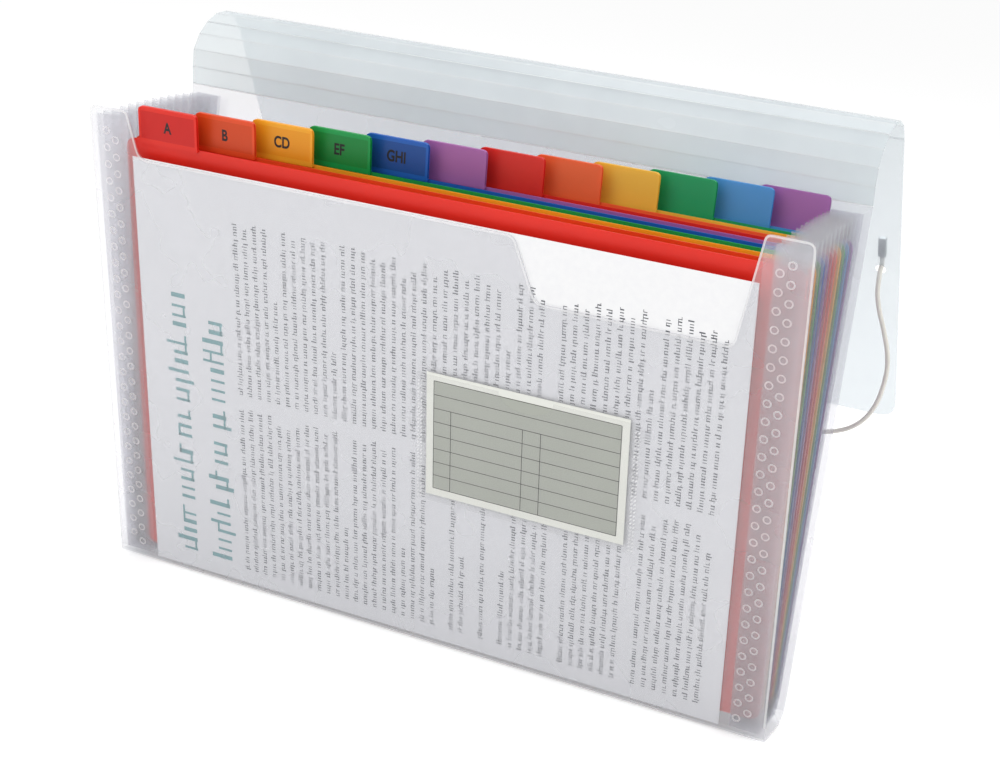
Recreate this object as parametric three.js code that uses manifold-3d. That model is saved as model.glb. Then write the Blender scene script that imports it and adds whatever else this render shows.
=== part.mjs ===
// Expanding file folder, A4 landscape, thirteen pockets.
// Millimetres, +Z up, +X to the right and +Y to the back.
// The origin is the centre of the base's underside.
import * as THREE from "three";
import { mergeVertices } from "three/addons/utils/BufferGeometryUtils.js";
import Module from "manifold-3d";

const wasm = await Module();
wasm.setup();

// Driving dimensions
const WIDTH = 340;
const FRONT_HEIGHT = 233.5;
const BACK_HEIGHT = 233.4;
const BASE_DEPTH = 28;
const POCKETS = 13;
const DIVIDERS = POCKETS - 1;
const FRONT_LEAN = THREE.MathUtils.degToRad(11);
const SPREAD = THREE.MathUtils.degToRad(13.2);
const COVER_THICKNESS = 0.8;
const GAP = 0.3;

const DIVIDER_LEFT = -155;
const DIVIDER_RIGHT = 166;
const DIVIDER_BOTTOM = 9;
const DIVIDER_TOP = 219.5;
const DIVIDER_THICKNESS = 0.4;
const TAB_TOP = 235.5;
const TAB_WIDTH = 31;
const FIRST_TAB_LEFT = -147;
const TAB_STEP = 26.4;
const TAB_STEP_LOSS = 0.17;

const FILM_THICKNESS = 0.2;
const GUSSET_BOTTOM = 3;
const GUSSET_TOP = 229.6;
const FOLD_OUTER_X = 167;
const FOLD_INNER_X = 153.3;

const CREASES = 9;
const MIDDLE_CREASE = 5;
const STRIP_LENGTH = 8.3;
const FLAP_LENGTH = 170;
// The turn at each crease from the sheet before it, in degrees, flap thrown back
const CREASE_TURNS = [-10.2, 7, 30, 20, 15, 20, 25, 30, 10.7];

const HOLE_X = 160.9;
const HOLE_ALONG = 75.8;
const HOLE_RADIUS = 2.7;
const CORD_DIAMETER = 2.2;

const degrees = THREE.MathUtils.degToRad;
const part = new THREE.Group();

// Materials
const plastic = (color, roughness) => new THREE.MeshStandardMaterial({ color, roughness, metalness: 0 });
const frosted = plastic(0xdfe3e4, 0.45);
const clearFilm = plastic(0xe9eef0, 0.2);
const paper = plastic(0xf6f6f4, 0.9);
const card = plastic(0xe4e5df, 0.8);
const elastic = plastic(0xeeebe4, 0.85);
const steel = new THREE.MeshStandardMaterial({ color: 0xa9adb0, roughness: 0.35, metalness: 1 });
const SHEET_COLOURS = [
  ["red", 0xd81e1e],
  ["orange", 0xe8502a],
  ["yellow", 0xf0b030],
  ["green", 0x12a650],
  ["blue", 0x2a64b8],
  ["purple", 0xb468aa],
];

// Shared helpers
function addPiece(name, geometry, material) {
  const mesh = new THREE.Mesh(geometry, material);
  mesh.name = name;
  part.add(mesh);
  return mesh;
}

function welded(geometry) {
  const bare = new THREE.BufferGeometry();
  bare.setAttribute("position", geometry.getAttribute("position"));
  if (geometry.index) {
    bare.setIndex(geometry.index);
  }
  return mergeVertices(bare, 1e-4);
}

function toSolid(geometry) {
  const merged = welded(geometry);
  return new wasm.Manifold(
    new wasm.Mesh({
      numProp: 3,
      vertProperties: new Float32Array(merged.getAttribute("position").array),
      triVerts: new Uint32Array(merged.index.array),
    }),
  );
}

function toGeometry(solid) {
  const mesh = solid.getMesh();
  const geometry = new THREE.BufferGeometry();
  geometry.setAttribute("position", new THREE.BufferAttribute(new Float32Array(mesh.vertProperties), 3));
  geometry.setIndex(new THREE.BufferAttribute(new Uint32Array(mesh.triVerts), 1));
  geometry.computeVertexNormals();
  return geometry;
}

function box(x0, x1, y0, y1, z0, z1) {
  const geometry = new THREE.BoxGeometry(x1 - x0, y1 - y0, z1 - z0);
  return geometry.translate((x0 + x1) / 2, (y0 + y1) / 2, (z0 + z1) / 2);
}

// A flat sheet in its own plane: x to the right, y up the sheet, z towards its front face
function sheet(shape, thickness, curveSegments = 4) {
  return new THREE.ExtrudeGeometry(shape, { depth: thickness, bevelEnabled: false, curveSegments });
}

// A closed outline whose corners are rounded, each corner given as [x, y, radius]
function roundedShape(corners) {
  const shape = new THREE.Shape();
  const count = corners.length;
  for (let i = 0; i < count; i += 1) {
    const [x, y, radius] = corners[i];
    const before = new THREE.Vector2(...corners[(i + count - 1) % count]).sub(new THREE.Vector2(x, y));
    const after = new THREE.Vector2(...corners[(i + 1) % count]).sub(new THREE.Vector2(x, y));
    const corner = new THREE.Vector2(x, y);
    if (radius === 0) {
      if (i === 0) {
        shape.moveTo(x, y);
      } else {
        shape.lineTo(x, y);
      }
      continue;
    }
    const half = before.angleTo(after) / 2;
    const reach = radius / Math.tan(half);
    const start = corner.clone().add(before.normalize().multiplyScalar(reach));
    const end = corner.clone().add(after.normalize().multiplyScalar(reach));
    if (i === 0) {
      shape.moveTo(start.x, start.y);
    } else {
      shape.lineTo(start.x, start.y);
    }
    shape.quadraticCurveTo(x, y, end.x, end.y);
  }
  shape.closePath();
  return shape;
}

// The fan. Station s runs from 0 at the front panel to POCKETS at the rear panel.
// A leaf at station s stands on the base and leans by leafAngle(s), backwards when positive.
function leafAngle(s) {
  return -FRONT_LEAN + (SPREAD * s) / POCKETS;
}

function leafFoot(s) {
  return -BASE_DEPTH / 2 + (BASE_DEPTH * s) / POCKETS;
}

// The point of station s at height h up the leaf, moved back by off across the leaf
function leafPoint(x, s, h, off = 0) {
  const a = leafAngle(s);
  return new THREE.Vector3(
    x,
    leafFoot(s) + h * Math.sin(a) + off * Math.cos(a),
    h * Math.cos(a) - off * Math.sin(a),
  );
}

// Stands a flat sheet at station s with its front face moved back by off
function standOnLeaf(mesh, s, off) {
  mesh.position.copy(leafPoint(0, s, 0, off));
  mesh.rotation.x = Math.PI / 2 - leafAngle(s);
  return mesh;
}

// Cover: front panel, base and rear panel folded from one sheet
const COVER_HALF = COVER_THICKNESS / 2;
const FRONT_FOLD_RADIUS = 1.6;
const BACK_FOLD_RADIUS = 9;
const FRONT_CORNERS = [
  [-WIDTH / 2, 0, 0],
  [WIDTH / 2, 0, 0],
  [WIDTH / 2, FRONT_HEIGHT, 4],
  [149.6, FRONT_HEIGHT, 3],
  [140.2, 183.6, 4],
  [53.5, 183.6, 6],
  [42.6, 211.8, 5],
  [-144.2, 211.8, 6],
  [-149.6, FRONT_HEIGHT, 3],
  [-WIDTH / 2, FRONT_HEIGHT, 4],
];

// The folded section in (y, z), as points on the sheet's middle with the normal there.
// It runs down the front panel, round the front fold, along the base and up the rear panel.
function coverSection() {
  const path = new THREE.CurvePath();
  const frontTop = leafPoint(0, 0, FRONT_HEIGHT);
  const backTop = leafPoint(0, POCKETS, BACK_HEIGHT - GAP / 2);
  const floor = COVER_HALF;
  const front = new THREE.Vector2(frontTop.y, frontTop.z);
  const back = new THREE.Vector2(backTop.y, backTop.z);
  const frontFoot = new THREE.Vector2(leafFoot(0) - floor * Math.tan(FRONT_LEAN), floor);
  const backLean = leafAngle(POCKETS);
  const backFoot = new THREE.Vector2(leafFoot(POCKETS) + floor * Math.tan(backLean), floor);
  const fold = (corner, from, to, radius) => {
    const a = from.clone().sub(corner).normalize();
    const b = to.clone().sub(corner).normalize();
    const half = a.angleTo(b) / 2;
    const reach = radius / Math.tan(Math.abs(half));
    const start = corner.clone().addScaledVector(a, reach);
    const end = corner.clone().addScaledVector(b, reach);
    const middle = a.clone().add(b).normalize();
    const centre = corner.clone().addScaledVector(middle, radius / Math.sin(Math.abs(half)));
    return { start, end, centre };
  };
  const f = fold(frontFoot, front, backFoot, FRONT_FOLD_RADIUS);
  const r = fold(backFoot, frontFoot, back, BACK_FOLD_RADIUS);
  const points = [{ at: front, normal: turn(front, f.start) }];
  const arc = (bend, radius, steps) => {
    const a0 = Math.atan2(bend.start.y - bend.centre.y, bend.start.x - bend.centre.x);
    let a1 = Math.atan2(bend.end.y - bend.centre.y, bend.end.x - bend.centre.x);
    while (a1 < a0) {
      a1 += 2 * Math.PI;
    }
    for (let i = 0; i <= steps; i += 1) {
      const a = a0 + ((a1 - a0) * i) / steps;
      const out = new THREE.Vector2(Math.cos(a), Math.sin(a));
      points.push({ at: bend.centre.clone().addScaledVector(out, radius), normal: out });
    }
  };
  arc(f, FRONT_FOLD_RADIUS, 4);
  arc(r, BACK_FOLD_RADIUS, 8);
  points.push({ at: back, normal: turn(r.end, back) });
  const outer = points.map(({ at, normal }) => at.clone().addScaledVector(normal, COVER_HALF));
  const inner = points.map(({ at, normal }) => at.clone().addScaledVector(normal, -COVER_HALF));
  return new THREE.Shape([...outer, ...inner.reverse()]);
}

// The outward normal of a straight stretch walked from a to b with the inside on its left
function turn(a, b) {
  const d = b.clone().sub(a).normalize();
  return new THREE.Vector2(d.y, -d.x);
}

// A section in (y, z) drawn out over the folder's whole width
function acrossWidth(section) {
  const drawn = new THREE.ExtrudeGeometry(section, { depth: WIDTH, bevelEnabled: false });
  drawn.applyMatrix4(
    new THREE.Matrix4().makeBasis(
      new THREE.Vector3(0, 1, 0),
      new THREE.Vector3(0, 0, 1),
      new THREE.Vector3(1, 0, 0),
    ),
  );
  return drawn.translate(-WIDTH / 2, 0, 0);
}

function addCover() {
  const folded = acrossWidth(coverSection());
  // What the front panel's outline leaves over is cut away from the folded sheet
  const cutDepth = 6;
  const above = FRONT_HEIGHT + 5;
  const cutLevel = 170;
  const blank = new THREE.Shape([
    new THREE.Vector2(-WIDTH / 2 - 5, cutLevel),
    new THREE.Vector2(WIDTH / 2 + 5, cutLevel),
    new THREE.Vector2(WIDTH / 2 + 5, above),
    new THREE.Vector2(-WIDTH / 2 - 5, above),
  ]);
  const stand = (geometry) => {
    geometry.translate(0, 0, -cutDepth / 2);
    geometry.rotateX(Math.PI / 2 - leafAngle(0));
    const foot = leafPoint(0, 0, 0);
    return toSolid(geometry.translate(foot.x, foot.y, foot.z));
  };
  const waste = stand(sheet(blank, cutDepth)).subtract(stand(sheet(roundedShape(FRONT_CORNERS), cutDepth + 2, 6)));
  addPiece("cover", toGeometry(toSolid(folded).subtract(waste)), frosted);
}

// Gussets: one film folded in pleats, an outward fold round each divider's margin
// and an inward fold in each pocket, with a flat margin along each panel.
function pleatPath() {
  const margin = COVER_HALF + GAP + FILM_THICKNESS / 2;
  const around = DIVIDER_THICKNESS / 2 + GAP + FILM_THICKNESS / 2;
  const turnBack = 0.36;
  const inward = 0.3;
  const firstInward = BASE_DEPTH / POCKETS / 2 - (margin + turnBack);
  const path = [
    [FOLD_INNER_X, 0, margin],
    [FOLD_OUTER_X, 0, margin],
    [FOLD_OUTER_X, 0, margin + turnBack],
    [FOLD_INNER_X, 0.5, -firstInward],
    [FOLD_INNER_X, 0.5, inward],
  ];
  for (let k = 1; k <= DIVIDERS; k += 1) {
    path.push([FOLD_OUTER_X, k, -around]);
    path.push([FOLD_OUTER_X, k, around]);
    path.push([FOLD_INNER_X, k + 0.5, -inward]);
    path.push([FOLD_INNER_X, k + 0.5, k === DIVIDERS ? firstInward : inward]);
  }
  path.push([FOLD_OUTER_X, POCKETS, -margin - turnBack]);
  path.push([FOLD_OUTER_X, POCKETS, -margin]);
  path.push([FOLD_INNER_X, POCKETS, -margin]);
  return path;
}

// The lowest height of the film at station s, clear of the base and of the rounded rear fold
function filmFoot(s) {
  const opening = (Math.PI / 2 + leafAngle(POCKETS)) / 2;
  const centreY = leafFoot(POCKETS) - BACK_FOLD_RADIUS / Math.tan(opening);
  const centreZ = COVER_HALF + BACK_FOLD_RADIUS;
  const radius = BACK_FOLD_RADIUS - COVER_HALF - 0.6;
  const past = Math.max(leafPoint(0, s, GUSSET_BOTTOM).y - centreY, 0);
  const drop = Math.sqrt(Math.max(radius * radius - past * past, 0));
  return Math.max(GUSSET_BOTTOM, centreZ - drop);
}

// The two lines at half a thickness on each side of an open line, with mitred corners
function bothSides(line, half) {
  const left = [];
  const right = [];
  line.forEach((here, i) => {
    const before = line[Math.max(i - 1, 0)];
    const after = line[Math.min(i + 1, line.length - 1)];
    const into = here.clone().sub(before);
    const out = after.clone().sub(here);
    if (i === 0) {
      into.copy(out);
    }
    if (i === line.length - 1) {
      out.copy(into);
    }
    const n0 = new THREE.Vector2(-into.y, into.x).normalize();
    const n1 = new THREE.Vector2(-out.y, out.x).normalize();
    const mitre = n0.clone().add(n1).normalize();
    const reach = half / mitre.dot(n0);
    left.push(here.clone().addScaledVector(mitre, reach));
    right.push(here.clone().addScaledVector(mitre, -reach));
  });
  return [left, right];
}

// The film's outline at a level from 0 at its foot to 1 at its top
function filmOutline(level) {
  const middle = pleatPath().map(([x, s, off]) => {
    const foot = filmFoot(s);
    return leafPoint(x, s, foot + (GUSSET_TOP - foot) * level, off);
  });
  const flat = middle.map((p) => new THREE.Vector2(p.x, p.y));
  const [left, right] = bothSides(flat, FILM_THICKNESS / 2).map((side) =>
    side.map((p, i) => new THREE.Vector3(p.x, p.y, middle[i].z)),
  );
  return [...left, ...right.reverse()];
}

// A closed solid through outlines with the same number of points, from the lowest to the highest
function loft(outlines) {
  const count = outlines[0].length;
  const positions = outlines.flat().flatMap((p) => [p.x, p.y, p.z]);
  const flat = outlines.map((outline) => outline.map((p) => new THREE.Vector2(p.x, p.y)));
  const upward = THREE.ShapeUtils.isClockWise(flat[0]) ? -1 : 1;
  const index = [];
  const push = (a, b, c) => index.push(...(upward > 0 ? [a, b, c] : [a, c, b]));
  for (let row = 0; row < outlines.length - 1; row += 1) {
    for (let i = 0; i < count; i += 1) {
      const a = row * count + i;
      const b = row * count + ((i + 1) % count);
      push(a, b, b + count);
      push(a, b + count, a + count);
    }
  }
  const top = (outlines.length - 1) * count;
  for (const [a, b, c] of THREE.ShapeUtils.triangulateShape(flat[0], [])) {
    index.push(...orient(flat[0], a, b, c, -1));
  }
  for (const [a, b, c] of THREE.ShapeUtils.triangulateShape(flat[flat.length - 1], [])) {
    index.push(...orient(flat[flat.length - 1], a, b, c, 1).map((i) => i + top));
  }
  const geometry = new THREE.BufferGeometry();
  geometry.setAttribute("position", new THREE.Float32BufferAttribute(positions, 3));
  geometry.setIndex(index);
  geometry.computeVertexNormals();
  return geometry;
}

// The triangle's corners in the order that faces up for side 1 and down for side -1
function orient(points, a, b, c, side) {
  const area = points[b].clone().sub(points[a]).cross(points[c].clone().sub(points[a]));
  return area * side > 0 ? [a, b, c] : [a, c, b];
}

function addGussets() {
  const rows = 4;
  const outlines = [];
  for (let row = 0; row <= rows; row += 1) {
    outlines.push(filmOutline(row / rows));
  }
  const mirrored = outlines.map((outline) => outline.map((p) => new THREE.Vector3(-p.x, p.y, p.z)));
  addPiece("gusset_right", loft(outlines), clearFilm);
  addPiece("gusset_left", loft(mirrored), clearFilm);
}

// Dividers and the slips in their tabs
const SLEEVE_ROOM = 0.9;
const SLEEVE_WALL = 0.3;
const SLEEVE_LOW = DIVIDER_TOP - 1;
const SLEEVE_FLOOR = DIVIDER_TOP + 0.6;
const SLEEVE_CEILING = TAB_TOP - 0.8;
const SLIP_THICKNESS = 0.3;

function tabLeft(k) {
  const steps = k - 1;
  return FIRST_TAB_LEFT + TAB_STEP * steps - TAB_STEP_LOSS * steps * steps;
}

function addDivider(k) {
  const [colour, hex] = SHEET_COLOURS[(k - 1) % SHEET_COLOURS.length];
  const number = String(k).padStart(2, "0");
  const left = tabLeft(k);
  const right = left + TAB_WIDTH;
  const outline = roundedShape([
    [DIVIDER_LEFT, DIVIDER_BOTTOM, 6],
    [DIVIDER_RIGHT, DIVIDER_BOTTOM, 6],
    [DIVIDER_RIGHT, DIVIDER_TOP, 5],
    [right, DIVIDER_TOP, 0],
    [right, TAB_TOP, 2.5],
    [left, TAB_TOP, 2.5],
    [left, DIVIDER_TOP, 0],
    [DIVIDER_LEFT, DIVIDER_TOP, 5],
  ]);
  const front = roundedShape([
    [left, SLEEVE_LOW, 0],
    [right, SLEEVE_LOW, 0],
    [right, TAB_TOP, 2.5],
    [left, TAB_TOP, 2.5],
  ]);
  const depth = DIVIDER_THICKNESS + SLEEVE_ROOM + SLEEVE_WALL;
  const tunnel = box(
    left - 5,
    right + 5,
    SLEEVE_FLOOR,
    SLEEVE_CEILING,
    DIVIDER_THICKNESS,
    DIVIDER_THICKNESS + SLEEVE_ROOM,
  );
  const solid = toSolid(sheet(outline, DIVIDER_THICKNESS))
    .add(toSolid(sheet(front, depth)))
    .subtract(toSolid(tunnel));
  const off = DIVIDER_THICKNESS / 2;
  standOnLeaf(addPiece(`divider_${number}_${colour}`, toGeometry(solid), plastic(hex, 0.4)), k, off);
  const slip = roundedShape([
    [left + 1, SLEEVE_FLOOR + GAP, 0],
    [right - 1, SLEEVE_FLOOR + GAP, 0],
    [right - 1, SLEEVE_CEILING - GAP, 0.8],
    [left + 1, SLEEVE_CEILING - GAP, 0.8],
  ]);
  const slipOff = off - DIVIDER_THICKNESS - (SLEEVE_ROOM - SLIP_THICKNESS) / 2;
  standOnLeaf(addPiece(`index_label_${number}`, sheet(slip, SLIP_THICKNESS), paper), k, slipOff);
}

// The A4 sheet in the front pocket
function addDocument() {
  const width = 297;
  const height = 210;
  const thickness = 0.3;
  const foot = 2.2;
  const shape = roundedShape([
    [-width / 2, foot, 0],
    [width / 2, foot, 0],
    [width / 2, foot + height, 0],
    [-width / 2, foot + height, 0],
  ]);
  standOnLeaf(addPiece("document_sheet", sheet(shape, thickness), paper), 0, COVER_HALF + GAP + thickness);
}

// The small clear pocket on the front panel, closed at the sides and below, and its card
const LABEL_LEFT = 3.4;
const LABEL_WIDTH = 96;
const LABEL_LOW = 80.4;
const LABEL_HEIGHT = 60.5;
const LABEL_THICKNESS = 0.3;

function addLabel() {
  const film = 0.25;
  const seam = 4.5;
  const room = LABEL_THICKNESS + 2 * GAP;
  const left = LABEL_LEFT - seam;
  const right = LABEL_LEFT + LABEL_WIDTH + seam;
  const low = LABEL_LOW - 3;
  const high = LABEL_LOW + LABEL_HEIGHT - 1;
  const notch = 13;
  const middle = (left + right) / 2;
  const shape = new THREE.Shape();
  shape.moveTo(left, low);
  shape.lineTo(right, low);
  shape.lineTo(right, high);
  shape.lineTo(middle + notch, high);
  shape.absellipse(middle, high, notch, notch * 0.6, 0, Math.PI, true);
  shape.lineTo(left, high);
  shape.closePath();
  const depth = room + film;
  const hollow = box(left + seam - GAP - 0.5, right - seam + GAP + 0.5, LABEL_LOW - 0.6, high + 5, -1, room);
  const solid = toSolid(sheet(shape, depth, 8)).subtract(toSolid(hollow));
  const off = -COVER_HALF - GAP;
  standOnLeaf(addPiece("label_pocket", toGeometry(solid), clearFilm), 0, off);
  const cardShape = roundedShape([
    [LABEL_LEFT, LABEL_LOW, 0],
    [LABEL_LEFT + LABEL_WIDTH, LABEL_LOW, 0],
    [LABEL_LEFT + LABEL_WIDTH, LABEL_LOW + LABEL_HEIGHT, 0],
    [LABEL_LEFT, LABEL_LOW + LABEL_HEIGHT, 0],
  ]);
  standOnLeaf(addPiece("label_card", sheet(cardShape, LABEL_THICKNESS), card), 0, off - GAP / 2);
}

// Creased zone and flap: each sheet starts at a crease, and its turn is added to the one before
function creaseChain() {
  const start = leafPoint(0, POCKETS, BACK_HEIGHT);
  let lean = leafAngle(POCKETS);
  let y = start.y;
  let z = start.z;
  return CREASE_TURNS.map((turnBack) => {
    lean += degrees(turnBack);
    const stretch = { y, z, lean };
    y += STRIP_LENGTH * Math.sin(lean);
    z += STRIP_LENGTH * Math.cos(lean);
    return stretch;
  });
}

// Stands a flat sheet on a crease, its middle on the crease line
function standOnCrease(mesh, { y, z, lean }) {
  mesh.position.set(0, y, z);
  mesh.rotation.x = Math.PI / 2 - lean;
  return mesh;
}

// A stretch of the creased zone from one crease to another, bent at each crease between them
function addSpine(name, chain, from, to) {
  const line = chain.slice(from - 1, to).map(({ y, z }) => new THREE.Vector2(y, z));
  const last = line.length - 1;
  line[0].lerp(line[1], GAP / 2 / STRIP_LENGTH);
  line[last].lerp(line[last - 1], GAP / 2 / STRIP_LENGTH);
  const [left, right] = bothSides(line, COVER_HALF);
  addPiece(name, acrossWidth(new THREE.Shape([...left, ...right.reverse()])), frosted);
}

function addFlap() {
  const chain = creaseChain();
  addSpine("spine_lower", chain, 1, MIDDLE_CREASE);
  addSpine("spine_upper", chain, MIDDLE_CREASE, CREASES);
  const outline = roundedShape([
    [-WIDTH / 2, GAP / 2, 0],
    [WIDTH / 2, GAP / 2, 0],
    [WIDTH / 2, FLAP_LENGTH, 10],
    [-WIDTH / 2, FLAP_LENGTH, 10],
  ]);
  for (const side of [-1, 1]) {
    const hole = new THREE.Path();
    hole.absarc(side * HOLE_X, HOLE_ALONG, HOLE_RADIUS, 0, 2 * Math.PI, true);
    outline.holes.push(hole);
  }
  const flap = sheet(outline, COVER_THICKNESS, 5).translate(0, 0, -COVER_HALF);
  standOnCrease(addPiece("closing_flap", flap, frosted), chain[CREASES - 1]);
  return chain[CREASES - 1];
}

// A point beside the flap: x across, along from its crease, out from its middle.
// Out is positive on the face that is turned to the rear panel.
function flapPoint(flap, x, along, out) {
  const up = new THREE.Vector2(Math.sin(flap.lean), Math.cos(flap.lean));
  const away = new THREE.Vector2(Math.cos(flap.lean), -Math.sin(flap.lean));
  return new THREE.Vector3(
    x,
    flap.y + up.x * along + away.x * out,
    flap.z + up.y * along + away.y * out,
  );
}

// Elastic and its end clips
const TAG_LENGTH = 11;
const TAG_WIDTH = 3.6;
const TAG_THICKNESS = 1.8;
const TAG_OUT = -2.2;
const TAG_END_ALONG = HOLE_ALONG - 6;

// One half of the elastic's route, from the clip through the hole to the middle of the U
function cordHalf(flap, side) {
  const hole = flapPoint(flap, 0, HOLE_ALONG, 0);
  const behind = [
    [HOLE_X, TAG_END_ALONG + GAP, TAG_OUT],
    [HOLE_X, HOLE_ALONG - 3.4, TAG_OUT],
    [HOLE_X, HOLE_ALONG - 0.9, -1.5],
    [HOLE_X, HOLE_ALONG + 0.3, 0.4],
  ].map(([x, along, out]) => flapPoint(flap, side * x, along, out));
  // x across, then y and z from the middle of the hole
  const hanging = [
    [161.6, -3.2, -4.8],
    [162.4, -4.6, -10.9],
    [164.6, -5.4, -17.9],
    [168.4, -6, -26.9],
    [171.5, -6, -35.9],
    [172.9, -6, -43.9],
    [172.6, -6, -51.9],
    [170.8, -6, -61.4],
    [166.8, -6, -69.6],
    [160.8, -6, -75.6],
    [152.5, -6, -79.6],
    [141, -6, -82.2],
    [122, -6, -84.4],
    [96, -6, -85.8],
    [64, -6, -86.6],
    [32, -6, -87.1],
  ].map(([x, y, z]) => new THREE.Vector3(side * x, hole.y + y, hole.z + z));
  return [...behind, ...hanging];
}

function addElastic(flap) {
  const right = cordHalf(flap, 1);
  const left = cordHalf(flap, -1).reverse();
  const lowest = right[right.length - 1].clone();
  lowest.x = 0;
  lowest.z -= 0.1;
  const route = new THREE.CatmullRomCurve3([...right, lowest, ...left], false, "centripetal");
  const sides = 8;
  const section = new THREE.Shape();
  for (let i = 0; i < sides; i += 1) {
    const a = (2 * Math.PI * i) / sides;
    const x = (CORD_DIAMETER / 2) * Math.cos(a);
    const y = (CORD_DIAMETER / 2) * Math.sin(a);
    if (i === 0) {
      section.moveTo(x, y);
    } else {
      section.lineTo(x, y);
    }
  }
  section.closePath();
  const tube = new THREE.ExtrudeGeometry(section, { steps: 80, extrudePath: route });
  addPiece("elastic_cord", tube, elastic);
  for (const [name, side] of [["cord_tag_left", -1], ["cord_tag_right", 1]]) {
    const shape = roundedShape([
      [-TAG_WIDTH / 2, -TAG_LENGTH, 0.8],
      [TAG_WIDTH / 2, -TAG_LENGTH, 0.8],
      [TAG_WIDTH / 2, 0, 0.8],
      [-TAG_WIDTH / 2, 0, 0.8],
    ]);
    const tag = addPiece(name, sheet(shape, TAG_THICKNESS).translate(0, 0, -TAG_THICKNESS / 2), steel);
    tag.position.copy(flapPoint(flap, side * HOLE_X, TAG_END_ALONG, TAG_OUT));
    tag.rotation.x = Math.PI / 2 - flap.lean;
  }
}

addCover();
addGussets();
addDocument();
addLabel();
for (let k = 1; k <= DIVIDERS; k += 1) {
  addDivider(k);
}
addElastic(addFlap());

export default part;
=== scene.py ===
"""Expanding file folder: looks, small parts, floor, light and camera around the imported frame.

Lengths are written in millimetres and turned into metres by MM. The leaves of the fan stand at
stations 0 (front panel) to 13 (rear panel), and a place on a leaf is (x, height up the leaf, off),
with off the distance behind the leaf's middle.
"""
import math
import random

import bpy
import numpy as np
from mathutils import Matrix

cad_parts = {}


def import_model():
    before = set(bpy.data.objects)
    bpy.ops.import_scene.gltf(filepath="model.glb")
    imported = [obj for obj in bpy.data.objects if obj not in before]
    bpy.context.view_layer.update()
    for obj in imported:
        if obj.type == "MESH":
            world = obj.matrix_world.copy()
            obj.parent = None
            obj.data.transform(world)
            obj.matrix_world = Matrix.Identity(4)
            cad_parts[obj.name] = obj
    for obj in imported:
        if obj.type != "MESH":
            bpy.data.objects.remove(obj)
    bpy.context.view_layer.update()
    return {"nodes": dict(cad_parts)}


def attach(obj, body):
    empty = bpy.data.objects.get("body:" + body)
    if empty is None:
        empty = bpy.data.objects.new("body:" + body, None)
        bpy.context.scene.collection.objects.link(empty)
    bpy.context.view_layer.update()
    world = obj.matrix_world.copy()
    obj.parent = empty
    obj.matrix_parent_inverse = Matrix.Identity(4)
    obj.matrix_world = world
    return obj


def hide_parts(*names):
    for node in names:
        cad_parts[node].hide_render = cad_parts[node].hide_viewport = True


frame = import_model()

MM = 0.001

# The folder's own dimensions, as in its CAD source
WIDTH = 340.0
FRONT_HEIGHT = 233.5
BACK_HEIGHT = 233.4
BASE_DEPTH = 28.0
POCKETS = 13
FRONT_LEAN = math.radians(11.0)
SPREAD = math.radians(13.2)
# Half of the cover sheet's thickness, and the room between neighbouring sheets
HALF = 0.4
GAP = 0.3
STRIP_LENGTH = 8.3
CREASE_TURNS = (-10.2, 7, 30, 20, 15, 20, 25, 30, 10.7)
HOLE_X = 160.9
HOLE_ALONG = 75.8
CORD_DIAMETER = 2.2
CREASE_BODIES = ["spine_low"] * 4 + ["spine_high"] * 4 + ["flap"]
CREASE_BEAD = 0.4
# A print or a thin band stands this far in front of the sheet that carries it
CLEAR = 0.03
# The front of a tab's sleeve, before the divider's middle
SLEEVE_FRONT = -1.4
# Label card on the front panel, and its pocket's welds
CARD_LEFT = 3.4
CARD_LOW = 80.4
CARD_WIDTH = 96.0
CARD_HEIGHT = 60.5
CARD_THICKNESS = 0.3
POCKET_FILM = 0.25
# The notch for the tabs in the front panel's top edge: the heights of its two levels
HIGH_NOTCH = 211.8
LOW_NOTCH = 183.6
# Weld rings: radius of the ring and of its rim, the rim's rise, and the columns at each side of a panel
RING_RADIUS = 1.6
RIM_RADIUS = 0.34
RIM_RISE = 0.16
RING_COLUMN = 156.6
RING_COLUMN_STEP = 4.8
RING_LOW = 9.0
RING_STEP = 8.06
RING_ROWS = 27
MARGIN_INNER = 149.4
MARGIN_OUTER = 169.4
MARGIN_LOW = 4.0
MARGIN_HIGH = 229.0
LETTERS = ("A", "B", "CD", "EF", "GHI")
LETTER_SIZE = 7.0
LETTER_LOW = 224.9


def tab_left(k):
    """The left edge of the tab of divider k."""
    return -147 + 26.4 * (k - 1) - 0.17 * (k - 1) ** 2


def leaf_angle(s):
    """The lean of station s from upright, backwards when positive."""
    return -FRONT_LEAN + SPREAD * s / POCKETS


def on_leaf(points, s, off):
    """Points (x, height) on the leaf at station s, off behind its middle, in metres."""
    points = np.asarray(points, float)
    a = leaf_angle(s)
    foot = -BASE_DEPTH / 2 + BASE_DEPTH * s / POCKETS
    x, h = points[:, 0], points[:, 1]
    off = np.broadcast_to(off, h.shape)
    y = foot + h * math.sin(a) + off * math.cos(a)
    z = h * math.cos(a) - off * math.sin(a)
    return np.stack([x, y, z], 1) * MM


def crease_chain():
    """(y, z, lean) at each of the nine creases, each lean being that of the sheet after it."""
    lean = leaf_angle(POCKETS)
    y = BASE_DEPTH / 2 + BACK_HEIGHT * math.sin(lean)
    z = BACK_HEIGHT * math.cos(lean)
    chain = []
    for turn in CREASE_TURNS:
        lean += math.radians(turn)
        chain.append((y, z, lean))
        y += STRIP_LENGTH * math.sin(lean)
        z += STRIP_LENGTH * math.cos(lean)
    return chain


# Materials: colours are sRGB hex, lengths in textures are real ones


def rgb(code):
    """A hex colour such as "c81e1e" as linear red, green, blue and 1."""
    values = [int(code[i:i + 2], 16) / 255 for i in (0, 2, 4)]
    return [v / 12.92 if v <= 0.04045 else ((v + 0.055) / 1.055) ** 2.4 for v in values] + [1.0]


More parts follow.
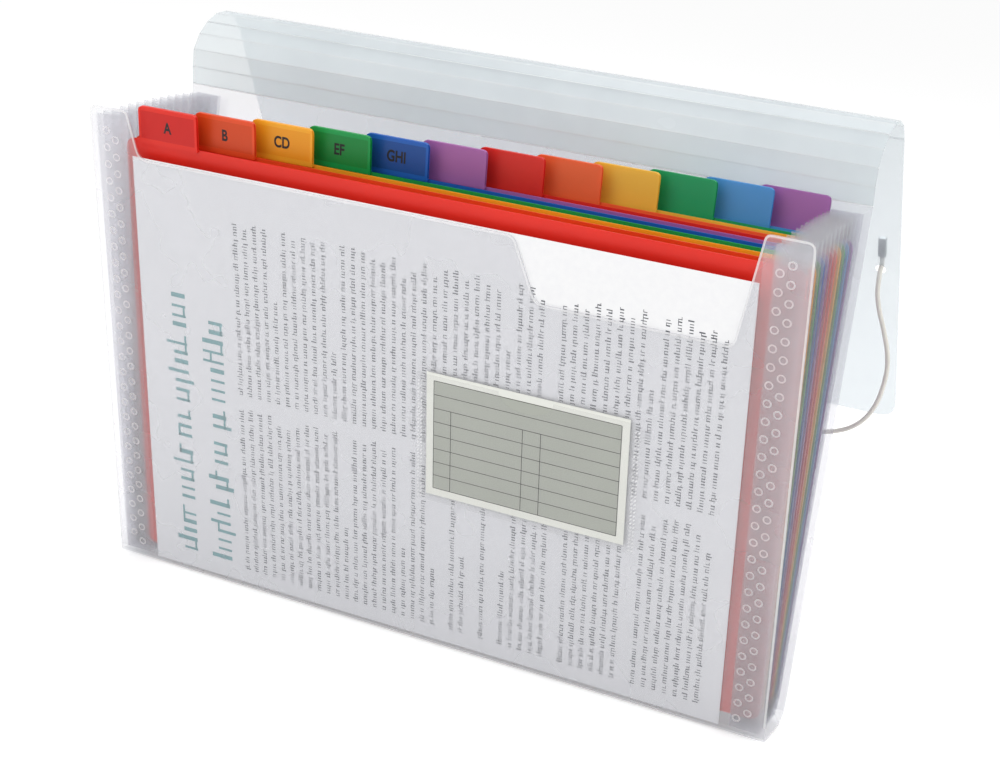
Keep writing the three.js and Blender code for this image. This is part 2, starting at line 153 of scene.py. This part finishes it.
def new_material(name):
    """A material, its node tree, and the output node, which is the only node in it."""
    material = bpy.data.materials.new(name)
    material.use_nodes = True
    tree = material.node_tree
    tree.nodes.clear()
    out = tree.nodes.new("ShaderNodeOutputMaterial")
    return material, tree, out


def add(tree, kind, inputs=(), **settings):
    """A node of that kind with its settings, its inputs given as values or as sockets to link."""
    node = tree.nodes.new(kind)
    for key, value in settings.items():
        setattr(node, key, value)
    for key, value in dict(inputs).items():
        if isinstance(value, bpy.types.NodeSocket):
            tree.links.new(value, node.inputs[key])
        else:
            node.inputs[key].default_value = value
    return node


def noise(tree, size, detail=2.0, stretch=(1, 1, 1)):
    """Noise whose blobs are about size millimetres across, as a 0 to 1 socket, stretched along an axis."""
    place = add(tree, "ShaderNodeTexCoord").outputs["Object"]
    scaled = add(tree, "ShaderNodeMapping", {"Vector": place, "Scale": stretch})
    return add(tree, "ShaderNodeTexNoise", {
        "Vector": scaled.outputs["Vector"], "Scale": 1 / (size * MM), "Detail": detail,
    }).outputs["Fac"]


def bump(tree, height, depth):
    """A bump of that depth in millimetres."""
    return add(tree, "ShaderNodeBump", {"Height": height, "Distance": depth * MM}).outputs["Normal"]


def spread(tree, value, low, high):
    """A 0 to 1 socket moved to low to high."""
    moved = add(tree, "ShaderNodeMapRange", {"Value": value, "To Min": low, "To Max": high})
    return moved.outputs["Result"]


def tinted(tree, value, dark, light):
    """A colour between two hex colours."""
    ramp = add(tree, "ShaderNodeMix", {"Factor": value}, data_type="RGBA")
    ramp.inputs["A"].default_value = rgb(dark)
    ramp.inputs["B"].default_value = rgb(light)
    return ramp.outputs["Result"]


def see_through(name, dark, light, clear, opacity, rough, grain, grain_depth, glow=0.0, closed=True):
    """Plastic sheet that lets part of the light straight through.

    dark and light are the sheet's own colours, clear the colour of what passes each face, opacity how much
    the sheet covers what is behind, rough the polish, grain the size of the surface's texture in millimetres
    and glow the part of the covering that passes light on softly. The sheet clouds over about 30 mm, in its
    colour, its polish and a little in its covering. A closed sheet has two faces and covers on the one that
    is met from outside.
    """
    material, tree, out = new_material(name)
    cloudy = noise(tree, 30.0, 2)
    fine = noise(tree, grain, 0)
    body = add(tree, "ShaderNodeBsdfPrincipled", {
        "Base Color": tinted(tree, cloudy, dark, light),
        "Roughness": spread(tree, cloudy, rough * 0.8, rough * 1.25),
        "Normal": bump(tree, fine, grain_depth),
    })
    shader = body.outputs[0]
    if glow:
        soft = add(tree, "ShaderNodeBsdfTranslucent", {"Color": tinted(tree, cloudy, dark, light)})
        both = add(tree, "ShaderNodeMixShader", {0: glow})
        tree.links.new(shader, both.inputs[1])
        tree.links.new(soft.outputs[0], both.inputs[2])
        shader = both.outputs[0]
    passing = add(tree, "ShaderNodeBsdfTransparent", {"Color": rgb(clear)})
    covering = spread(tree, cloudy, opacity * 0.94, opacity * 1.06)
    if closed:
        inside = add(tree, "ShaderNodeNewGeometry").outputs["Backfacing"]
        outside = add(tree, "ShaderNodeMath", {0: 1.0, 1: inside}, operation="SUBTRACT")
        covering = add(tree, "ShaderNodeMath", {0: covering, 1: outside.outputs[0]}, operation="MULTIPLY")
        covering = covering.outputs[0]
    mix = add(tree, "ShaderNodeMixShader", {0: covering})
    tree.links.new(passing.outputs[0], mix.inputs[1])
    tree.links.new(shader, mix.inputs[2])
    tree.links.new(mix.outputs[0], out.inputs["Surface"])
    return material


def solid_look(name, dark, light, rough, grain, grain_depth, metal=0.0, sheen=0.0, stretch=(1, 1, 1)):
    """An opaque material with two close colours and a fine surface, its grain in millimetres."""
    material, tree, out = new_material(name)
    body = add(tree, "ShaderNodeBsdfPrincipled", {
        "Base Color": tinted(tree, noise(tree, grain * 12, 3), dark, light),
        "Roughness": spread(tree, noise(tree, grain * 6), rough * 0.9, min(rough * 1.1, 1)),
        "Metallic": metal,
        "Sheen Weight": sheen,
        "Normal": bump(tree, noise(tree, grain, 2, stretch), grain_depth),
    })
    tree.links.new(body.outputs[0], out.inputs["Surface"])
    return material


# Frosted translucent polypropylene sheet of the cover and flap, fine sand texture
FROSTED = see_through("frosted_polypropylene", "eaebed", "f3f4f6", "f7f7f8", 0.26, 0.34, 0.35, 0.004, 0.2)
# The same sheet at the thrown-back flap, which is cooler and whiter with the light through it: a copy of the
# cover's sheet whose colours are painted cooler and greyer, painted light and shade for how the light falls
# there
FLAP = see_through("frosted_polypropylene_flap", "dde2e4", "eaeef0", "f1f4f5", 0.48, 0.24, 0.35, 0.004, 0.3)
# Thin blown film of the pleated sides
PLEAT = see_through("pleated_clear_film", "e6e8ea", "f0f1f2", "f9f9fa", 0.19, 0.2, 0.6, 0.004, 0.3)
# Thin glossy film of the label pocket
POCKET = see_through("pocket_clear_film", "f0f0f2", "fafafa", "fdfdfd", 0.078, 0.12, 0.8, 0.004)
# Whitened plastic where the sheet is creased or welded, and the same whiter plastic as a painted highlight
# along the front panel's cut edge
WHITENED_AND_HIGHLIGHT = see_through(
    "whitened_and_highlight_polypropylene", "f0efef", "fdfdfd", "ffffff", 0.6, 0.35, 0.3, 0.01, 0.3, closed=False
)
# Ultrasonic weld rings, whitened by the tool
WELD = see_through("welded_polypropylene", "f6eef0", "fffbfc", "ffffff", 0.54, 0.3, 0.3, 0.004, 0.3)
# The weld margin, which the tool's fine knurl has made whiter than the rest
MARGIN = see_through(
    "weld_margin_polypropylene", "f4eff1", "fdf8fa", "fdfdfe", 0.15, 0.4, 0.8, 0.01, 0.3, closed=False
)

# Dyed polypropylene of the dividers, which glows a little where light falls through it
DIVIDER_COLOURS = [
    ("red", "ec2c1e", "f63c2a"),
    ("orange", "ea5220", "f66430"),
    ("yellow", "f8b622", "ffc63a"),
    ("green", "0ea44c", "1cb860"),
    ("blue", "1e66c2", "2e78d6"),
    ("purple", "b46eb8", "c682c4"),
    ("red", "e22a22", "f03a2e"),
    ("orange", "f46c36", "fc7e48"),
    ("yellow", "f6ca42", "ffd858"),
    ("green", "18aa66", "28bc7a"),
    ("blue", "54a4e0", "68b8f0"),
    ("purple", "b474bc", "c888ce"),
]
# The printed slip shows through the first five tabs as a darker field, its darkness painted shade for the
# light that crosses the dyed sleeve twice
INSERT_SHADE_COLOURS = ("de2016", "e2521c", "f6b022", "0e9a44", "205cae")


def dyed_sheet(name, dark, light):
    """Opaque dyed plastic, satin, with a part of its colour lit from behind."""
    material, tree, out = new_material(name)
    colour = tinted(tree, noise(tree, 40.0, 3), dark, light)
    body = add(tree, "ShaderNodeBsdfPrincipled", {
        "Base Color": colour,
        "Roughness": spread(tree, noise(tree, 10.0), 0.32, 0.44),
        "Normal": bump(tree, noise(tree, 0.4), 0.004),
    })
    soft = add(tree, "ShaderNodeBsdfTranslucent", {"Color": colour})
    mix = add(tree, "ShaderNodeMixShader", {0: 0.35})
    tree.links.new(body.outputs[0], mix.inputs[1])
    tree.links.new(soft.outputs[0], mix.inputs[2])
    tree.links.new(mix.outputs[0], out.inputs["Surface"])
    return material


DIVIDERS = []
for number, (word, dark, light) in enumerate(DIVIDER_COLOURS, 1):
    dyed = dyed_sheet("divider_polypropylene_%02d" % number, dark, light)
    DIVIDERS.append(("divider_%02d_%s" % (number, word), dyed))

# Uncoated office paper, fine fibre
PAPER = solid_look("office_paper", "eeeef0", "f6f6f6", 0.85, 0.25, 0.01)
SLIP_PRINTED = solid_look("printed_slip_paper", "c2c0bc", "cecbc6", 0.8, 0.25, 0.008)
SLIP_BLANK = solid_look("blank_slip_paper", "f0f0ee", "fafaf8", 0.8, 0.25, 0.008)
# Pale card and the grey-green field of its table
CARD = solid_look("card_stock", "e2e3dc", "e8e9e2", 0.8, 2.0, 0.006)
CARD_FIELD = solid_look("card_table_field", "a8aba2", "adb0a7", 0.8, 2.0, 0.004)
# Printing inks
INK = solid_look("black_ink", "0c0c0e", "16161a", 0.7, 0.3, 0.002)
TEXT_INK = solid_look("grey_text_ink", "4c4e56", "5c5e66", 0.7, 0.3, 0.004)
TEAL_INK = solid_look("teal_heading_ink", "4e9296", "74b0b2", 0.7, 0.4, 0.004)
# Zinc-plated crimped clip
STEEL = solid_look("plated_steel_clip", "9a9da0", "b4b7ba", 0.34, 0.2, 0.006, 1.0)
# Off-white elastic with a braided cover
BRAID = solid_look("braided_elastic", "d8d5cc", "ece9e0", 0.75, 0.5, 0.12, 0.0, 0.25, (1.6, 1.6, 0.7))


def dress(node, material):
    """Gives a CAD node its material."""
    obj = frame["nodes"][node]
    obj.data.materials.clear()
    obj.data.materials.append(material)


dress("cover", FROSTED)
for half in ("lower", "upper"):
    dress("spine_" + half, FLAP)
dress("closing_flap", FLAP)
for side in ("left", "right"):
    dress("gusset_" + side, PLEAT)
    dress("cord_tag_" + side, STEEL)
for node, look in DIVIDERS:
    dress(node, look)
for index in range(1, 13):
    dress("index_label_%02d" % index, SLIP_PRINTED if index <= 5 else SLIP_BLANK)
dress("document_sheet", PAPER)
dress("label_card", CARD)
dress("label_pocket", POCKET)


def piece(name, points, faces, material, body, smooth=False):
    """A mesh in metres that rides on a body."""
    mesh = bpy.data.meshes.new(name)
    mesh.from_pydata(np.asarray(points, float).tolist(), [], [[int(v) for v in face] for face in faces])
    mesh.update()
    if smooth:
        mesh.polygons.foreach_set("use_smooth", [True] * len(mesh.polygons))
    obj = bpy.data.objects.new(name, mesh)
    bpy.context.scene.collection.objects.link(obj)
    mesh.materials.append(material)
    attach(obj, body)
    return obj


def rectangles(boxes, s, off):
    """Flat rectangles (x0, h0, x1, h1) on a leaf, facing the front: points, and faces of four in a row."""
    corners = np.array(boxes, float)[:, [0, 1, 2, 1, 2, 3, 0, 3]].reshape(-1, 2)
    return on_leaf(corners, s, off), np.arange(len(corners)).reshape(-1, 4)


def ring_grid(rows, sides, closed_rows=False):
    """Quads of a tube of so many rings (rows) of so many points (sides), as an array of point numbers.

    Point i * sides + j is the j-th of ring i, and a quad joins it to its neighbours round the ring and in the
    next ring, both counted modulo their number where the grid closes.
    """
    i, j = np.mgrid[0:rows if closed_rows else rows - 1, 0:sides]
    k, n = (j + 1) % sides, (i + 1) % rows
    return np.stack([i * sides + j, i * sides + k, n * sides + k, n * sides + j], -1).reshape(-1, 4)


def rings_round(line, tangent, side, sides, radius):
    """Points of a round tube along a line, ring after ring.

    Each ring is at + (side cos q + (tangent x side) sin q) radius, for q in equal steps round, where at is
    the line's point, and tangent and side are unit directions there at right angles.
    """
    q = 2 * np.pi * np.arange(sides) / sides
    other = np.cross(tangent, side)
    spokes = side[:, None] * np.cos(q)[None, :, None] + other[:, None] * np.sin(q)[None, :, None]
    return (line[:, None] + spokes * radius).reshape(-1, 3)


def rounded(corners, steps=5):
    """An open line through corners (x, h, radius), each rounded by a quadratic curve.

    The curve is (1 - t)^2 start + 2 t (1 - t) corner + t^2 end, where start and end lie at
    radius / tan(half of the corner's angle) from the corner along its two sides.
    """
    t = np.linspace(0, 1, steps + 1)[:, None]
    line = []
    for i, (x, h, radius) in enumerate(corners):
        here = np.array([x, h], float)
        if radius == 0 or i in (0, len(corners) - 1):
            line.append(here[None])
            continue
        a = np.array(corners[i - 1][:2], float) - here
        b = np.array(corners[i + 1][:2], float) - here
        a /= np.linalg.norm(a)
        b /= np.linalg.norm(b)
        half = math.acos(float(np.clip(a @ b, -1, 1))) / 2
        reach = radius / math.tan(half)
        line.append((1 - t) ** 2 * (here + a * reach) + 2 * t * (1 - t) * here + t * t * (here + b * reach))
    return np.concatenate(line)


def ribbon(line, width):
    """A flat band to the right of an open line: the line, the line + right * width, and quads between."""
    tangent = np.gradient(line, axis=0)
    tangent /= np.linalg.norm(tangent, axis=1)[:, None]
    right = np.stack([tangent[:, 1], -tangent[:, 0]], 1)
    points = np.concatenate([line, line + right * width])
    i, n = np.arange(len(line) - 1), len(line)
    return points, np.stack([i, i + n, i + n + 1, i + 1], 1)


def on_both_panels(parts):
    """Joins (points, faces) of the front and the rear panel, with the second's faces renumbered."""
    (front_points, front_faces), (rear_points, rear_faces) = parts
    faces = np.concatenate([front_faces, rear_faces + len(front_points)])
    return np.concatenate([front_points, rear_points]), faces


def weld_rings():
    """Small weld rings in two columns on each side of both panels.

    Each is a flat torus on the sheet's outer face, centre + r(q) (x cos t + up sin t) + outward RIM_RISE
    sin q, with r(q) = RING_RADIUS + RIM_RADIUS cos q, for t round the ring and q round its rim.
    """
    around, across = 14, 6
    t, q = np.meshgrid(
        2 * np.pi * np.arange(around) / around, 2 * np.pi * np.arange(across) / across, indexing="ij"
    )
    reach = RING_RADIUS + RIM_RADIUS * np.cos(q)
    grid = np.meshgrid(np.arange(RING_ROWS), (0, 1), (-1, 1), indexing="ij")
    row, column, side = (values.ravel() for values in grid)
    height = RING_LOW + RING_STEP * (row + 0.5 * column)
    centres = np.stack([side * (RING_COLUMN + RING_COLUMN_STEP * column), height], 1)
    starts = np.arange(len(centres)) * around * across
    parts = []
    for s, away in ((0, -1), (POCKETS, 1)):
        a = leaf_angle(s)
        up = np.array([0, math.sin(a), math.cos(a)])
        outward = np.array([0, math.cos(a), -math.sin(a)]) * away
        shape = ((reach * np.cos(t))[..., None] * [1, 0, 0] + (reach * np.sin(t))[..., None] * up
                 + (RIM_RISE * np.sin(q))[..., None] * outward).reshape(-1, 3) * MM
        points = (on_leaf(centres, s, HALF * away)[:, None] + shape[None]).reshape(-1, 3)
        quads = ring_grid(around, across, True)[:, ::away]
        parts.append((points, (starts[:, None, None] + quads[None]).reshape(-1, 4)))
    points, faces = on_both_panels(parts)
    piece("weld_rings", points, faces, WELD, "folder", True)


def weld_margins():
    """The bands under the rings, which the welding tool has whitened: flat, on both panels' outer faces."""
    boxes = [
        (-MARGIN_OUTER, MARGIN_LOW, -MARGIN_INNER, MARGIN_HIGH),
        (MARGIN_INNER, MARGIN_LOW, MARGIN_OUTER, MARGIN_HIGH),
    ]
    parts = []
    for s, away in ((0, -1), (POCKETS, 1)):
        corners, quads = rectangles(boxes, s, away * (HALF + CLEAR / 2))
        parts.append((corners, quads[:, ::-away]))
    points, faces = on_both_panels(parts)
    piece("weld_margins", points, faces, MARGIN, "folder")


def crease_beads():
    """A whitened round bead along each crease, on the hinge line, where the sheet itself bends.

    Each is a cylinder along the crease, (x, y + CREASE_BEAD cos q, z + CREASE_BEAD sin q), with closed ends.
    """
    sides = 10
    caps = [tuple(range(sides))[::-1], tuple(range(sides, 2 * sides))]
    for index, (y, z, _) in enumerate(crease_chain()):
        line = np.array([[-WIDTH / 2, y, z], [WIDTH / 2, y, z]]) * MM
        along, side = np.array([[1.0, 0, 0]] * 2), np.array([[0, 1.0, 0]] * 2)
        points = rings_round(line, along, side, sides, CREASE_BEAD * MM)
        faces = ring_grid(2, sides).tolist() + caps
        name, body = "crease_bead_%d" % (index + 1), CREASE_BODIES[index]
        piece(name, points, faces, WHITENED_AND_HIGHLIGHT, body, True)


def front_cut_edge_highlight():
    """A painted highlight along the front panel's stepped top edge: a narrow band of whiter plastic on its
    front face.
    """
    top, edge, rim = FRONT_HEIGHT, WIDTH / 2, 0.9
    line = rounded([
        (-edge, 8, 0), (-edge, top, 4), (-149.6, top, 3), (-144.2, HIGH_NOTCH, 6), (42.6, HIGH_NOTCH, 5),
        (53.5, LOW_NOTCH, 6), (140.2, LOW_NOTCH, 4), (149.6, top, 3), (edge, top, 4), (edge, 8, 0),
    ])
    points, faces = ribbon(line, rim)
    # The band is a painted highlight on the cut edge, in the whitened plastic's colour
    piece("front_cut_edge_highlight", on_leaf(points, 0, -HALF - 0.02), faces, WHITENED_AND_HIGHLIGHT, "folder")


def strokes(rng, x, h0, h1, size, pitch):
    """One line of print as plain upright strokes, read upwards, in word groups without letters.

    x is the line's foot, h0 and h1 its ends, size the height of a low stroke and pitch the room of each.
    """
    boxes = []
    h = h0
    while h < h1 - 3 * pitch:
        letters = rng.randint(2, 10)
        for _ in range(letters):
            if h > h1:
                break
            tall = rng.random()
            rise = 1.5 if tall > 0.82 else 1.0
            drop = 0.35 if tall < 0.08 else 0.0
            thick = pitch * rng.choice((0.26, 0.34, 0.46))
            boxes.append((x - size * rise, h, x + size * drop, h + thick))
            if rng.random() < 0.4:
                edge = x - size * (0.2 if rng.random() < 0.5 else 1.0)
                boxes.append((edge, h, edge + size * 0.14, h + pitch))
            h += pitch
        h += pitch * 0.9
    return boxes


def document_print():
    """Plain strokes for the sheet's text, in two columns, and a wide teal heading of the same kind."""
    rng = random.Random(7)
    line_pitch = 5.05
    front = HALF + GAP - 0.04
    boxes = []
    for low, high in ((10, 98), (105, 190)):
        x = -94.0
        while x < 142:
            end = high if rng.random() < 0.8 else low + (high - low) * rng.uniform(0.3, 0.9)
            if rng.random() > 0.06:
                boxes += strokes(rng, x, low, end, 1.75, 1.3)
            x += line_pitch
    points, faces = rectangles(boxes, 0, front)
    piece("document_print", points, faces, TEXT_INK, "folder")
    heading = []
    for x, high in ((-124.0, 150.0), (-104.0, 156.0)):
        heading += strokes(rng, x, 12, high, 7.6, 4.9)
    points, faces = rectangles(heading, 0, front)
    piece("document_heading", points, faces, TEAL_INK, "folder")


def label_table():
    """The ruled table on the card: a darker field inside a pale border, eight rows and three uprights."""
    margin, rows, half_line = 3.6, 8, 0.14
    x0, x1 = CARD_LEFT + margin, CARD_LEFT + CARD_WIDTH - margin
    h0, h1 = CARD_LOW + margin, CARD_LOW + CARD_HEIGHT - margin
    face = -HALF - 1.5 * GAP - CARD_THICKNESS
    points, faces = rectangles([(x0, h0, x1, h1)], 0, face - CLEAR)
    piece("label_table_field", points, faces, CARD_FIELD, "folder")
    lines = []
    for row in range(rows + 1):
        h = h0 + (h1 - h0) * row / rows
        lines.append((x0, h - half_line, x1, h + half_line))
    body_top = h1 - (h1 - h0) * 2 / rows
    for part, top in ((0.0, h1), (1.0, h1), (0.095, body_top), (0.486, body_top), (0.583, body_top)):
        x = x0 + (x1 - x0) * part
        lines.append((x - half_line, h0, x + half_line, top))
    points, faces = rectangles(lines, 0, face - 2 * CLEAR)
    piece("label_table_lines", points, faces, INK, "folder")


def pocket_seams():
    """The serrated welds at the sides of the label pocket: small slanted teeth in two columns.

    A tooth is the parallelogram (0, 0), (0.9, 0.5), (0.9, 1.3), (0, 0.8) from its own low left corner.
    """
    tooth = np.array([(0, 0), (0.9, 0.5), (0.9, 1.3), (0, 0.8)])
    columns = (-0.7, 0.8, 101.9, 103.4)
    x, h = (values.ravel() for values in np.meshgrid(columns, np.arange(78.5, 136.5, 1.9), indexing="ij"))
    corners = (np.stack([x, h], 1)[:, None] + tooth).reshape(-1, 2)
    faces = np.arange(len(corners)).reshape(-1, 4)
    surface = -HALF - 3 * GAP - CARD_THICKNESS - POCKET_FILM - CLEAR
    piece("label_pocket_seams", on_leaf(corners, 0, surface), faces, WHITENED_AND_HIGHLIGHT, "folder")


def tab_inserts():
    """The field of the printed slip, seen through the front of each of the first five tabs: a patch on the
    sleeve's front whose darker colour is painted shade, for light that crosses the dyed film twice.
    """
    low, high = 220.8, 233.6
    for k, colour in enumerate(INSERT_SHADE_COLOURS, 1):
        left, right = tab_left(k) + 1.2, tab_left(k) + 29.8
        points, faces = rectangles([(left, low, right, high)], k, SLEEVE_FRONT - CLEAR / 2)
        name, slot = "tab_insert_%02d" % k, "sheet_" + DIVIDER_COLOURS[k - 1][0]
        # The slip's place on the sleeve, in a darker colour that is painted shade
        piece(name, points, faces, dyed_sheet(name, colour, colour), "folder")


def letter_shape(letters):
    """The flat mesh of Blender's own plain letters, as (x, height) points about its middle, and its faces."""
    curve = bpy.data.curves.new("letters", "FONT")
    curve.body = letters
    curve.size = LETTER_SIZE
    curve.offset = 0.22
    curve.align_x = "CENTER"
    source = bpy.data.objects.new("letters", curve)
    bpy.context.scene.collection.objects.link(source)
    bpy.context.view_layer.update()
    seen = source.evaluated_get(bpy.context.evaluated_depsgraph_get())
    made = bpy.data.meshes.new_from_object(seen)
    flat = np.array([tuple(v.co) for v in made.vertices])[:, :2]
    faces = [tuple(p.vertices) for p in made.polygons]
    bpy.data.objects.remove(source)
    bpy.data.curves.remove(curve)
    bpy.data.meshes.remove(made)
    return flat, faces


def index_letters():
    """Plain index letters on the first five tabs, narrowed to the tab."""
    middle, narrow = 15.5, 0.8
    for k, letters in enumerate(LETTERS, 1):
        flat, faces = letter_shape(letters)
        places = np.array([tab_left(k) + middle, LETTER_LOW]) + flat * [narrow, 1]
        points = on_leaf(places, k, SLEEVE_FRONT - CLEAR)
        obj = piece("index_letters_%02d" % k, points, faces, INK, "folder")
        normals = np.array([tuple(p.normal) for p in obj.data.polygons])
        if normals[:, 1].mean() > 0:
            obj.data.flip_normals()


def flap_point(x, along, out):
    """A point beside the flap: across, along from its crease, out on the face towards the rear panel."""
    y, z, lean = crease_chain()[-1]
    return np.array([
        x,
        y + math.sin(lean) * along + math.cos(lean) * out,
        z + math.cos(lean) * along - math.sin(lean) * out,
    ])


# The right half of the hanging elastic from its hole: out from the middle, backwards and up, in millimetres
HANGING = (
    (161.6, -3.2, -4.8), (162.4, -4.6, -10.9), (164.6, -5.4, -17.9), (168.4, -6, -26.9), (171.5, -6, -35.9),
    (172.9, -6, -43.9), (172.6, -6, -51.9), (170.8, -6, -61.4), (166.8, -6, -69.6), (160.8, -6, -75.6),
    (152.5, -6, -79.6), (141, -6, -82.2), (122, -6, -84.4), (96, -6, -85.8), (64, -6, -86.6), (32, -6, -87.1),
)


def cord_half(side):
    """One half of the elastic's route, from its clip to near the middle of the U."""
    hole = flap_point(0, HOLE_ALONG, 0)
    # From the clip under the flap through the hole: along the flap from the hole, and out of its face
    through = [(-5.7, -2.2), (-3.4, -2.2), (-0.9, -1.5), (0.3, 0.4)]
    route = [flap_point(side * HOLE_X, HOLE_ALONG + along, out) for along, out in through]
    route += [np.array([side * x, hole[1] + y, hole[2] + z]) for x, y, z in HANGING]
    return route


def between(a, b, ta, tb, t):
    """The point at t on the straight way from a at ta to b at tb, for a whole column of t."""
    return (tb - t) / (tb - ta) * a + (t - ta) / (tb - ta) * b


def catmull(points, steps):
    """A centripetal Catmull-Rom curve through points, as so many points (steps) for each stretch.

    Each stretch blends straight ways between four neighbours three times over, with knots spaced by the
    square root of the distance.
    """
    points = np.asarray(points, float)
    ends = np.concatenate([[2 * points[0] - points[1]], points, [2 * points[-1] - points[-2]]])
    line = []
    for i in range(1, len(ends) - 2):
        p = ends[i - 1:i + 3]
        t = np.concatenate([[0], np.cumsum(np.linalg.norm(np.diff(p, axis=0), axis=1) ** 0.5)])
        u = np.linspace(t[1], t[2], steps, endpoint=False)[:, None]
        a = [between(p[j], p[j + 1], t[j], t[j + 1], u) for j in range(3)]
        b = [between(a[j], a[j + 1], t[j], t[j + 2], u) for j in range(2)]
        line.append(between(b[0], b[1], t[1], t[2], u))
    return np.concatenate(line + [points[-1:]])


def elastic():
    """The elastic: a round tube along the route from clip to clip, closed at both ends."""
    right, left = cord_half(1), cord_half(-1)[::-1]
    lowest = right[-1].copy()
    lowest[0] = 0
    lowest[2] -= 0.1
    line = catmull(right + [lowest] + left, 5) * MM
    tangent = np.gradient(line, axis=0)
    tangent /= np.linalg.norm(tangent, axis=1)[:, None]
    # The route runs through the hole from front to back, then down and across, so it is never along aside
    aside = np.array([0, 1.0, -1.0]) / math.sqrt(2)
    side = aside - tangent * (tangent @ aside)[:, None]
    side /= np.linalg.norm(side, axis=1)[:, None]
    sides = 16
    points = rings_round(line, tangent, side, sides, CORD_DIAMETER / 2 * MM)
    last = (len(line) - 1) * sides
    faces = ring_grid(len(line), sides).tolist()
    faces += [tuple(range(sides))[::-1], tuple(range(last, last + sides))]
    obj = piece("elastic_loop", points, faces, BRAID, "flap", True)
    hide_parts("elastic_cord")


# Camera, as solved from the photograph: its place in metres and its three directions
CAMERA_AT = (0.3456, -0.7449, 0.3618)
RIGHT = (0.898, 0.4264, 0.1086)
DOWN = (0.2133, -0.2061, -0.955)
FORWARD = (-0.3849, 0.8807, -0.276)
SENSOR = 36.0
LENS = 67.179


def photo_camera():
    """The camera at the photograph's place, its directions made exactly square by their polar part."""
    data = bpy.data.cameras.new("camera")
    data.sensor_width = SENSOR
    data.lens = LENS
    obj = bpy.data.objects.new("camera", data)
    bpy.context.scene.collection.objects.link(obj)
    axes = np.array([RIGHT, [-v for v in DOWN], [-v for v in FORWARD]])
    u, _, v = np.linalg.svd(axes.T)
    obj.matrix_world = Matrix.Translation(CAMERA_AT) @ Matrix((u @ v).tolist()).to_4x4()
    bpy.context.scene.camera = obj


photo_camera()
elastic()
weld_rings()
weld_margins()
crease_beads()
front_cut_edge_highlight()
document_print()
label_table()
pocket_seams()
tab_inserts()
index_letters()


def seen_rays(tree):
    """1 for camera, glossy and transmission rays, which show the white surround, and 0 for the rest."""
    rays = add(tree, "ShaderNodeLightPath").outputs
    first = {0: rays["Is Camera Ray"], 1: rays["Is Glossy Ray"]}
    seen = add(tree, "ShaderNodeMath", first, operation="MAXIMUM").outputs[0]
    both = {0: seen, 1: rays["Is Transmission Ray"]}
    return add(tree, "ShaderNodeMath", both, operation="MAXIMUM").outputs[0]


# What the camera sees of the floor beyond the light that falls on it, so that it is white
FLOOR_LIFT = 0.3
FLOOR_REACH = 12.0
FLOOR_LEVEL = -0.0005
# The surround as light, against 1 where it is seen
SURROUND = 0.72


def floor():
    """A wide pale floor at the base's level, lifted to white for the camera and in reflections."""
    mesh = bpy.data.meshes.new("floor")
    square = ((-1, -1), (1, -1), (1, 1), (-1, 1))
    corners = [(x * FLOOR_REACH, y * FLOOR_REACH, FLOOR_LEVEL) for x, y in square]
    mesh.from_pydata(corners, [], [(0, 1, 2, 3)])
    obj = bpy.data.objects.new("floor", mesh)
    bpy.context.scene.collection.objects.link(obj)
    material, tree, out = new_material("pale_floor")
    paint = add(tree, "ShaderNodeBsdfDiffuse", {"Color": rgb("f6f6f6")})
    glow = add(tree, "ShaderNodeEmission", {"Color": (1, 1, 1, 1), "Strength": FLOOR_LIFT})
    lifted = add(tree, "ShaderNodeAddShader")
    tree.links.new(paint.outputs[0], lifted.inputs[0])
    tree.links.new(glow.outputs[0], lifted.inputs[1])
    choose = add(tree, "ShaderNodeMixShader", {0: seen_rays(tree)})
    tree.links.new(paint.outputs[0], choose.inputs[1])
    tree.links.new(lifted.outputs[0], choose.inputs[2])
    tree.links.new(choose.outputs[0], out.inputs["Surface"])
    mesh.materials.append(material)


def world():
    """An even white surround: full white where it is seen, a little lower as light."""
    made = bpy.data.worlds.new("studio")
    made.use_nodes = True
    tree = made.node_tree
    tree.nodes.clear()
    out = tree.nodes.new("ShaderNodeOutputWorld")
    shown = add(tree, "ShaderNodeBackground", {"Color": (1, 1, 1, 1), "Strength": 1.0})
    lit = add(tree, "ShaderNodeBackground", {"Color": (1, 1, 1, 1), "Strength": SURROUND})
    mix = add(tree, "ShaderNodeMixShader", {0: seen_rays(tree)})
    tree.links.new(lit.outputs[0], mix.inputs[1])
    tree.links.new(shown.outputs[0], mix.inputs[2])
    tree.links.new(mix.outputs[0], out.inputs["Surface"])
    bpy.context.scene.world = made


def softbox(name, at, aim, size, power):
    """A rectangular light at a place in metres, aimed at another."""
    data = bpy.data.lights.new(name, "AREA")
    data.shape = "RECTANGLE"
    data.size, data.size_y = size
    data.energy = power
    obj = bpy.data.objects.new(name, data)
    bpy.context.scene.collection.objects.link(obj)
    back = np.array(at, float) - np.array(aim, float)
    back /= np.linalg.norm(back)
    side = np.cross([0, 0, 1.0], back)
    side /= np.linalg.norm(side)
    up = np.cross(back, side)
    turn = Matrix([[side[i], up[i], back[i]] for i in range(3)])
    obj.matrix_world = Matrix.Translation(at) @ turn.to_4x4()


floor()
world()
# Place, aim and size in metres, and power in watts
softbox("key", (-0.9, -1.3, 1.3), (0, 0, 0.15), (1.2, 1.2), 11)
softbox("top", (0.1, 0.5, 1.5), (0, 0.03, 0.2), (1.5, 0.5), 9)
softbox("side", (1.5, -0.2, 0.7), (0.1, 0, 0.12), (0.8, 1.2), 5)

scene = bpy.context.scene
scene.view_settings.view_transform = "Standard"
# A ray through the fan crosses many thin films with two faces each, and would end black at a lower limit
scene.cycles.transparent_max_bounces = 20
